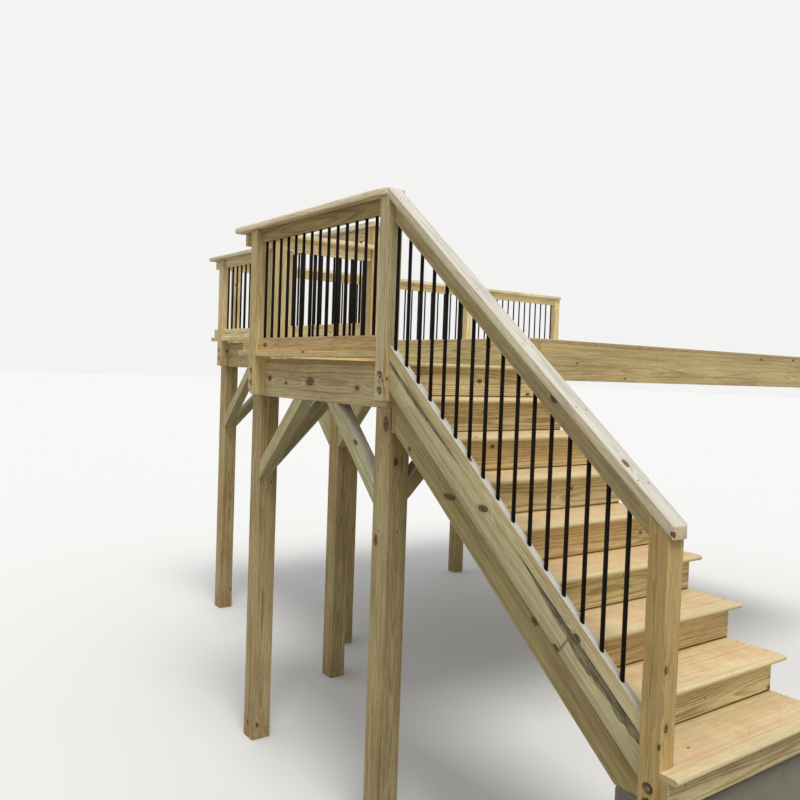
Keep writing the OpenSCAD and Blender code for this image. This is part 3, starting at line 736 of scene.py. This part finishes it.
# Balusters
# Round black tubes, powder coated, standing in holes drilled in the rails. The coat is
# dusty and nearly dull.
g = Graph(bpy.data.materials.new("black_coat"))
spread, dust = g.noise(g.here(), 900.0, 2.0), g.noise(g.here(), 14.0, 3.0)
black = g.mix(dust * 0.6 + spread * 0.4, (0.0060, 0.0042, 0.0032), (0.0150, 0.0110, 0.0085))
black_coat = g.finish(Base_Color=black, Roughness=spread * 0.12 + 0.48, Specular_IOR_Level=0.09,
                      Normal=g.bump(spread, 0.25, 0.0004))


def wired(tree, kind, settings=None, inputs=None):
    """Adds one node to a Geometry Nodes tree, linking or setting its inputs."""
    made = tree.nodes.new(kind)
    for name, value in (settings or {}).items():
        setattr(made, name, value)
    for key, value in (inputs or {}).items():
        if isinstance(value, bpy.types.NodeSocket):
            tree.links.new(value, made.inputs[key])
        else:
            made.inputs[key].default_value = value
    return next(out for out in made.outputs if out.enabled)


def opened(name, *sockets):
    """A new tree with these named inputs: the tree, their identifiers and their sockets."""
    tree = bpy.data.node_groups.new(name, "GeometryNodeTree")
    tree.interface.new_socket("Geometry", in_out="OUTPUT", socket_type="NodeSocketGeometry")
    keys = [tree.interface.new_socket(label, in_out="INPUT", socket_type="NodeSocket" + kind).identifier
            for label, kind in sockets]
    return tree, keys, tree.nodes.new("NodeGroupInput").outputs


def closed(tree, geometry, material):
    """Ends a tree in Realize Instances and Set Material."""
    solid = wired(tree, "GeometryNodeRealizeInstances", None, {0: geometry})
    coated = wired(tree, "GeometryNodeSetMaterial", None, {"Geometry": solid, "Material": material})
    tree.links.new(coated, tree.nodes.new("NodeGroupOutput").inputs[0])


def grown_into(shape, tree, values, bed=None):
    """Runs a tree once, on an empty mesh or on a bed of points, and adds what it makes."""
    holder = bpy.data.objects.new("seedbed", bed or bpy.data.meshes.new("seedbed"))
    bpy.context.scene.collection.objects.link(holder)
    run = holder.modifiers.new("grow", "NODES")
    run.node_group = tree
    for key, value in values.items():
        run[key] = value
    grown = holder.evaluated_get(bpy.context.evaluated_depsgraph_get())
    solid = bpy.data.meshes.new_from_object(grown)
    shape.from_mesh(solid)
    bpy.data.objects.remove(holder)
    bpy.data.meshes.remove(solid)


def settled(name, shape, material, smooth):
    """Makes a piece of a finished shape, smooth where the given test of a face says."""
    for face in shape.faces:
        face.smooth = smooth(face)
        face.material_index = 0
    return rigid(name, shape, material)


def baluster_rows(name, rows, sides=20):
    """Rows of tubes: each row is (count, foot of the first, step, height, radius)."""
    tubes = bmesh.new()
    for row in rows:
        tree, keys, given = opened("row_of_tubes", ("Count", "Int"), ("First", "Vector"),
                                   ("Step", "Vector"), ("Height", "Float"), ("Radius", "Float"))
        line = wired(tree, "GeometryNodeMeshLine", None, {
            "Count": given["Count"], "Start Location": given["First"], "Offset": given["Step"]})
        tube = wired(tree, "GeometryNodeMeshCylinder", None, {
            "Vertices": sides, "Radius": given["Radius"], "Depth": given["Height"]})
        half = wired(tree, "ShaderNodeMath", {"operation": "MULTIPLY"}, {0: given["Height"], 1: 0.5})
        lift = wired(tree, "ShaderNodeCombineXYZ", None, {"Z": half})
        stood = wired(tree, "GeometryNodeTransform", None, {"Geometry": tube, "Translation": lift})
        placed = wired(tree, "GeometryNodeInstanceOnPoints", None, {"Points": line, "Instance": stood})
        closed(tree, placed, black_coat)
        grown_into(tubes, tree, dict(zip(keys, row)))
    return settled(name, tubes, black_coat, lambda face: abs(face.normal.z) < 0.5)


def tubes_of(node):
    """Count, first foot, step, height and radius of the even row of tubes in a CAD node."""
    boxes = solids_of(node)
    feet = [Vector(((a.x + b.x) / 2, (a.y + b.y) / 2, a.z)) for a, b in boxes]
    low, high = boxes[0]
    return (len(feet), feet[0], (feet[-1] - feet[0]) / (len(feet) - 1), high.z - low.z,
            (high.x - low.x) / 2)


for name, node in (("stair_tubes", "stair_balusters"), ("landing_tubes", "landing_balusters")):
    tubes = baluster_rows(name, [tubes_of(node)])
    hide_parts(node)


# Side, front and far railings
# The same level railing turned round the landing's side and the deck's two open edges:
# posts outside the rim, a rail under the cap, a rail on a flat board, tubes between.
def box_into(shape, low, high):
    """Adds the box between two corners."""
    corners = [shape.verts.new((x, y, z))
               for x in (low[0], high[0]) for y in (low[1], high[1]) for z in (low[2], high[2])]
    for quad in ((0, 1, 3, 2), (4, 6, 7, 5), (0, 4, 5, 1), (2, 3, 7, 6), (0, 2, 6, 4), (1, 5, 7, 3)):
        shape.faces.new([corners[i] for i in quad])


rail_under, rail_top = [corner.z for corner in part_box("landing_top_rail")]
low_rail_under, low_rail_top = [corner.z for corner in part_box("landing_bottom_rail")]
flat_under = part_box("landing_foot_board")[0].z
half_rail, half_flat, flat_lap = 0.019, 0.0445, 0.0255
pitch, tube_radius, sunk = 0.1036, 0.0095, 0.01
for seed, (node, lift, run) in enumerate((
        ("side_guard", 0.0, 1), ("front_guard", rise, 0), ("far_guard", rise, 1))):
    side = 1 - run
    rails, rows = bmesh.new(), []
    for low, high in solids_of(node):
        flat, upper = low.z < flat_under + lift + 0.01, high.z > rail_top + lift - 0.01
        middle = (low[side] + high[side]) / 2
        lap = 0 if upper else flat_lap
        levels = []
        if flat:
            levels.append((half_flat, flat_under, low_rail_under, lap if run == 0 else 0))
            levels.append((half_rail, low_rail_under, low_rail_top, lap if run == 1 else 0))
        if upper:
            levels.append((half_rail, rail_under, rail_top, 0))
        for half, under, over, back in levels:
            a, b = low.copy(), high.copy()
            a[run], a[side], b[side] = low[run] + back, middle - half, middle + half
            a.z, b.z = under + lift, over + lift
            box_into(rails, a, b)
        if flat and upper:
            count = math.floor((high[run] - low[run]) / pitch)
            step = Vector((0, 0, 0))
            step[run] = (high[run] - low[run]) / count
            foot = Vector((middle, middle, low_rail_top + lift - sunk))
            foot[run] = low[run] + step[run] / 2
            rows.append((count, foot, step, rail_under - low_rail_top + 2 * sunk, tube_radius))
    boards = sawn(node + "_rails", rails, far_pine, 71 + seed)
    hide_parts(node)
    tubes = baluster_rows(node + "_tubes", rows, sides=14)
    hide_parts(node)
post("side_railing_posts", "side_posts", corner_pine, 81)
post("front_railing_posts", "front_guard_post", far_pine, 82)
post("far_railing_posts", "far_guard_posts", far_pine, 83)

# Floor frames
# Rims, joists and beams of framing lumber on edge, with tight dark knots along the
# landing's long rim.
rim_knots = ((-1.392, -0.07, 2.611, 0.0145), (-1.154, -0.07, 2.584, 0.0105),
             (-0.83, -0.07, 2.605, 0.026), (-0.275, -0.07, 2.585, 0.013))


def rubbed(g, colour):
    """Reddish end of the rim, showing under the newel's foot."""
    x, y, z = g.split(g.where)
    patch = x.ramp(0.034, 0.038) * x.ramp(0.100, 0.094) * z.ramp(2.529, 2.526) * y.ramp(-0.060, -0.066)
    return g.mix(patch * 0.7, colour, (0.36, 0.185, 0.085))


rim_pine = pine("rim_pine", (0.71, 0.57, 0.31), green=0.40, ring=0.009, contrast=0.38,
                knots=rim_knots, luck=0.0, stain=rubbed)
step_pine = pine("step_pine", (0.66, 0.55, 0.31), green=0.40, ring=0.006, luck=0.10)
frame_pine = pine("frame_pine", (0.57, 0.455, 0.23), green=0.40, ring=0.006, luck=0.22)
for seed, (name, node, wood) in enumerate((
        ("landing_rim_boards", "landing_rims", rim_pine),
        ("landing_joist_boards", "landing_joists", frame_pine),
        ("deck_rim_boards", "deck_rims", frame_pine), ("deck_beam_boards", "deck_beams", frame_pine),
        ("deck_joist_boards", "deck_joists", frame_pine),
        ("deck_step_board", "deck_step_riser", step_pine))):
    framing = sawn(name, from_frame(node), wood, 91 + seed)
    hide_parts(node)

# Floor boards
# Radius-edged deck boards with drainage gaps, across the landing and along the deck; the
# landing ends in a nosed board over the top riser.
# Deck board tops are painted a little paler, partly weathering and partly painted sunlight.
floor_pine = pine("floor_pine", (0.62, 0.50, 0.28), green=0.3, luck=0.2, bleached_and_sunlit=0.3)
drain, nose_wide, nose_radius, arc = 0.004, 0.114, 0.0125, 10
landing_low, landing_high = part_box("landing_decking")
rim_x, nose_end, landing_count = landing_high.x - nose_wide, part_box("treads")[1].y, 12
width = (rim_x - landing_low.x) / landing_count
shape = bmesh.new()
landing_lines = []
for i in range(landing_count):
    x = landing_low.x + width * i
    box_into(shape, (x + (drain if i else 0), landing_low.y, landing_low.z),
             (x + width, landing_high.y, landing_high.z))
    landing_lines.append(x + width / 2)
landing_boards = sawn("landing_boards", shape, floor_pine, 101, ease=0.004)
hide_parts("landing_decking")

round_x, round_z = landing_high.x - nose_radius, landing_low.z + nose_radius
outline = [(rim_x + drain, landing_low.z), (round_x, landing_low.z)]
for k in range(1, arc):
    bend = math.pi * k / arc
    outline.append((round_x + nose_radius * math.sin(bend), round_z - nose_radius * math.cos(bend)))
outline += [(round_x, landing_high.z), (rim_x + drain, landing_high.z)]
shape = bmesh.new()
near = [shape.verts.new((x, landing_low.y, z)) for x, z in outline]
back = [shape.verts.new((x, nose_end, z)) for x, z in outline]
shape.faces.new(near)
shape.faces.new(list(reversed(back)))
for i in range(len(outline)):
    j = (i + 1) % len(outline)
    shape.faces.new([near[j], near[i], back[i], back[j]])
landing_nose = sawn("landing_nosing", shape, tread_pine, 102)
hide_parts("landing_decking")

deck_low, deck_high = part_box("deck_decking")
step_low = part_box("deck_step_riser")[0]
start, deck_count = deck_low.y + 0.025, 38
width = (deck_high.y - start) / deck_count
shape = bmesh.new()
box_into(shape, (step_low.x, deck_low.y, deck_low.z), (deck_high.x, start + width, deck_high.z))
box_into(shape, (deck_low.x, start, deck_low.z), (step_low.x - drain, start + width, deck_high.z))
deck_lines = [start + width / 2]
for i in range(1, deck_count):
    y = start + width * i
    box_into(shape, (deck_low.x, y + drain, deck_low.z), (deck_high.x, y + width, deck_high.z))
    deck_lines.append(y + width / 2)
deck_boards = sawn("deck_boards", shape, floor_pine, 103, ease=0.004)
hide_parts("deck_decking")

# Support posts and braces
# Heavy square posts with the heart boxed in, and 45 degree knee braces under the rims,
# their upper sides painted paler and greyer, partly as weathering and partly as painted
# sunlight.
column_knots = ((0.033, -0.07, 2.397, 0.024), (-0.031, -0.07, 1.737, 0.0165),
                (0.07, -0.02, 2.188, 0.013))


def splashed(g, colour):
    """Red soil splashed up the foot of a post by the rain."""
    x, y, z = g.split(g.where)
    drops = g.noise(g.point(x * 30.0, y * 30.0, z * 18.0), 1.0, 4.0, 0.7).ramp(0.35, 0.65)
    return g.mix(z.ramp(0.32, 0.0) * (drops * 0.6 + 0.25), colour, (0.40, 0.235, 0.125))


column_pine = pine("column_pine", (0.56, 0.44, 0.22), green=0.45, ring=0.0058, knots=column_knots,
                   along=upright, luck=0.14, split=0.8, stain=splashed)
brace_knots = ((-0.278, -0.07, 2.268, 0.011), (-0.193, -0.07, 2.288, 0.017),
               (-0.111, -0.07, 2.135, 0.014))
brace_pine = pine("brace_pine", (0.61, 0.56, 0.325), green=0.4, knots=brace_knots,
                  along=Vector((-1, 0, 1)).normalized(), luck=0.12, bleached_and_sunlit=0.8)
for seed, (name, node, wood) in enumerate((
        ("landing_posts", "landing_columns", column_pine), ("deck_posts", "deck_columns", column_pine),
        ("landing_knee_braces", "landing_braces", brace_pine),
        ("deck_knee_braces", "deck_braces", brace_pine))):
    supports = sawn(name, from_frame(node), wood, 111 + seed, ease=0.004, heart=True)
    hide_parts(node)


# Bolts
# Two hot-dip galvanised bolts through each railing post's tab: a washer on the floor of the
# counterbore and a six-sided head on the washer.
def zinc(name, dark, light):
    """Spangled zinc between two tones, touched by rust."""
    g = Graph(bpy.data.materials.new(name))
    spangle = g.noise(g.here(), 260.0, 2.0)
    rust = g.noise(g.here(), 90.0, 3.0).ramp(0.52, 0.72)
    coat = g.mix(rust * 0.8, g.mix(spangle, dark, light), (0.10, 0.052, 0.022))
    return g.finish(Base_Color=coat, Metallic=0.10, Roughness=spangle * 0.2 + 0.45,
                    Normal=g.bump(spangle, 0.4, 0.0005))


def heads_on(name, places, material, parts, seed):
    """Round or six-sided heads on (place, outward direction) pairs, each part of a head
    being (sides, radius at its foot, radius at its top, height, distance off the board)."""
    shape = bmesh.new()
    for sides, foot, top, height, off in parts:
        bed = bpy.data.meshes.new("bed")
        bed.from_pydata([place for place, _ in places], [], [])
        bed.attributes.new("outward", "FLOAT_VECTOR", "POINT").data.foreach_set(
            "vector", [value for _, outward in places for value in outward])
        tree, keys, given = opened(
            "heads", ("Bed", "Geometry"), ("Sides", "Int"), ("Foot", "Float"), ("Top", "Float"),
            ("Height", "Float"), ("Off", "Float"), ("Seed", "Int"))
        cone = wired(tree, "GeometryNodeMeshCone", None, {
            "Vertices": given["Sides"], "Radius Bottom": given["Foot"], "Radius Top": given["Top"],
            "Depth": given["Height"]})
        lift = wired(tree, "ShaderNodeCombineXYZ", None, {"Z": given["Off"]})
        stood = wired(tree, "GeometryNodeTransform", None, {"Geometry": cone, "Translation": lift})
        outward = wired(tree, "GeometryNodeInputNamedAttribute", {"data_type": "FLOAT_VECTOR"},
                        {"Name": "outward"})
        facing = wired(tree, "FunctionNodeAlignRotationToVector", {"axis": "Z"}, {"Vector": outward})
        spots = wired(tree, "GeometryNodeMeshToPoints", None, {"Mesh": given["Bed"]})
        spin = wired(tree, "FunctionNodeRandomValue", {"data_type": "FLOAT"},
                     {2: 0.0, 3: math.tau, "Seed": given["Seed"]})
        turned = wired(tree, "ShaderNodeCombineXYZ", None, {"Z": spin})
        placed = wired(tree, "GeometryNodeInstanceOnPoints", None, {
            "Points": spots, "Instance": stood, "Rotation": facing})
        spun = wired(tree, "GeometryNodeRotateInstances", None, {"Instances": placed, "Rotation": turned})
        closed(tree, spun, material)
        values = dict(zip(keys[1:], (sides, foot, top, height, off, seed)))
        grown_into(shape, tree, values, bed)
        bpy.data.meshes.remove(bed)
    return settled(name, shape, material, lambda face: False)


bore_floor, bolt_pitch, tab_up = 0.012, 0.085, 0.078
places = []
for node, first_up, apart, run in (
        ("bottom_newel", 0.035, 0.057, 1), ("top_newel", 0.054, bolt_pitch, 1),
        ("landing_corner_post", tab_up, bolt_pitch, 1), ("side_posts", tab_up, bolt_pitch, 0),
        ("front_guard_post", tab_up, bolt_pitch, 1), ("far_guard_posts", tab_up, bolt_pitch, 0)):
    outward = Vector((0, 0, 0))
    outward[run] = -1
    for low, high in solids_of(node):
        for up in (first_up, first_up + apart):
            spot = (low + high) / 2
            spot[run] = low[run] + bore_floor
            spot.z = low.z + up
            places.append((spot, outward))
washer_thick, head_high, chamfer_high = 0.0025, 0.006, 0.001
# The washers' zinc is painted dark as shade in the counterbores; the heads' zinc is painted lighter as
# lit.
heads_on("washers_in_posts", places, zinc("zinc_painted_shade", (0.050, 0.038, 0.020), (0.105, 0.082, 0.048)),
         ((20, 0.019, 0.019, washer_thick, 0.0),), 5)
heads_on("bolts_in_posts", places, zinc("zinc_painted_light", (0.15, 0.125, 0.080), (0.31, 0.27, 0.19)),
         ((6, 0.0115, 0.0115, head_high, washer_thick),
          (6, 0.0115, 0.0098, chamfer_high, washer_thick + head_high)), 5)

# Screws and nails
# Dark heads driven flush: screws in pairs where floor boards, treads and caps cross what
# carries them, nails in the risers and near the ends of the landing's rim.
g = Graph(bpy.data.materials.new("screw_head"))
wear = g.noise(g.here(), 400.0, 2.0)
dull = g.mix(wear, (0.055, 0.045, 0.035), (0.13, 0.105, 0.075))
screw_head = g.finish(Base_Color=dull, Metallic=0.5, Roughness=wear * 0.2 + 0.5,
                      Normal=g.bump(wear, 0.4, 0.0003))
to_front, to_foot = Vector((0, -1, 0)), Vector((1, 0, 0))
half_board, half_cap = 0.019, 0.070
board_pair, cap_pair = (-0.035, 0.035), (-0.022, 0.022)
tread_backs, riser_downs, rim_ups = (0.089, 0.235), (0.03, 0.09), (0.04, 0.12)
places = []
stair_y = [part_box("stringer_" + side)[0].y + half_board for side in ("outer", "middle", "inner")]
for node in ("bottom_tread", "treads"):
    for low, high in solids_of(node):
        places += [(Vector((high.x - back, y, high.z)), upright) for back in tread_backs for y in stair_y]
for node in ("bottom_riser", "risers"):
    for low, high in solids_of(node):
        places += [(Vector((high.x, y + 0.004, high.z - down)), to_foot)
                   for down in riser_downs for y in stair_y]
rim_low, rim_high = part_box("landing_rims")
joist_y = [rim_low.y + half_board] + [(a.y + b.y) / 2 for a, b in solids_of("landing_joists")]
places += [(Vector((x + off, y, landing_high.z)), upright)
           for x in landing_lines for off in board_pair for y in joist_y]
joist_x = sorted({round((a.x + b.x) / 2, 4) for a, b in solids_of("deck_joists")})
joist_x = [deck_low.x + half_board] + joist_x + [deck_high.x - half_board]
places += [(Vector((x, y + off, deck_high.z)), upright)
           for x in joist_x for y in deck_lines for off in board_pair]
places += [(Vector((x, rim_low.y, rim_low.z + up)), to_front)
           for x in (rim_low.x + 0.12, rim_high.x - 0.16) for up in rim_ups]

# The caps' screws stand in pairs across the grain: six pairs down the stair, rows at the
# landing's rails, and eight pairs along each of the deck's caps.
cap_low, cap_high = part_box("stair_cap")
cap_top = max(v.co.z + slope * v.co.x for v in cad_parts["stair_cap"].data.vertices)
off_cap = Vector((slope, 0, 1)).normalized()
for i in range(6):
    for out in cap_pair:
        x, y = 0.20 + 0.32 * i + out * 0.3, (cap_low.y + cap_high.y) / 2 + out
        places.append((Vector((x, y, cap_top - slope * x)), off_cap))
low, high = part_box("landing_cap")
places += [(Vector((x, low.y + half_cap + out, high.z)), upright)
           for x in (-1.50, -1.15, -0.8, -0.45, 0.02) for out in cap_pair]
places += [(Vector((low.x + half_cap + out, y, high.z)), upright)
           for y in (0.03, 0.30, 0.60, 0.88) for out in cap_pair]
for low, high, run in ((*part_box("front_cap"), 0), (*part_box("far_cap"), 1)):
    for i in range(1, 9):
        for out in cap_pair:
            at = low + (high - low) * (i / 9)
            at[1 - run], at.z = low[1 - run] + half_cap + out, high.z - hair
            places.append((at, upright))
heads_on("screws", places, screw_head, ((10, 0.0042, 0.0038, 0.0004, -0.0001),), 7)

# Footing
# One block of concrete cast under the foot of the flight, stained and pitted, with its
# edges worn round.
g = Graph(bpy.data.materials.new("concrete_face"))
coarse, sand = g.noise(g.here(), 6.0, 4.0, 0.6), g.noise(g.here(), 220.0, 3.0, 0.6)
pits = g.noise(g.here(), 60.0, 1.0).ramp(0.68, 0.75)
stains = g.noise(g.here(), 1.8, 3.0).ramp(0.45, 0.7)
colour = g.mix(coarse, (0.215, 0.195, 0.15), (0.32, 0.295, 0.235))
colour = g.mix(stains * 0.4, colour, (0.17, 0.148, 0.105))
colour = g.mix(sand * 0.5, colour, (0.19, 0.175, 0.135))
colour = g.mix(pits * 0.7, colour, (0.11, 0.105, 0.09))
height = sand * 0.0006 + coarse * 0.0015 - pits * 0.002
concrete = g.finish(Base_Color=colour, Roughness=sand * 0.1 + 0.82, Normal=g.bump(height, 0.8))
footing = sawn("footing", from_frame("stair_footing"), concrete, 121, ease=0.012)
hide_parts("stair_footing")
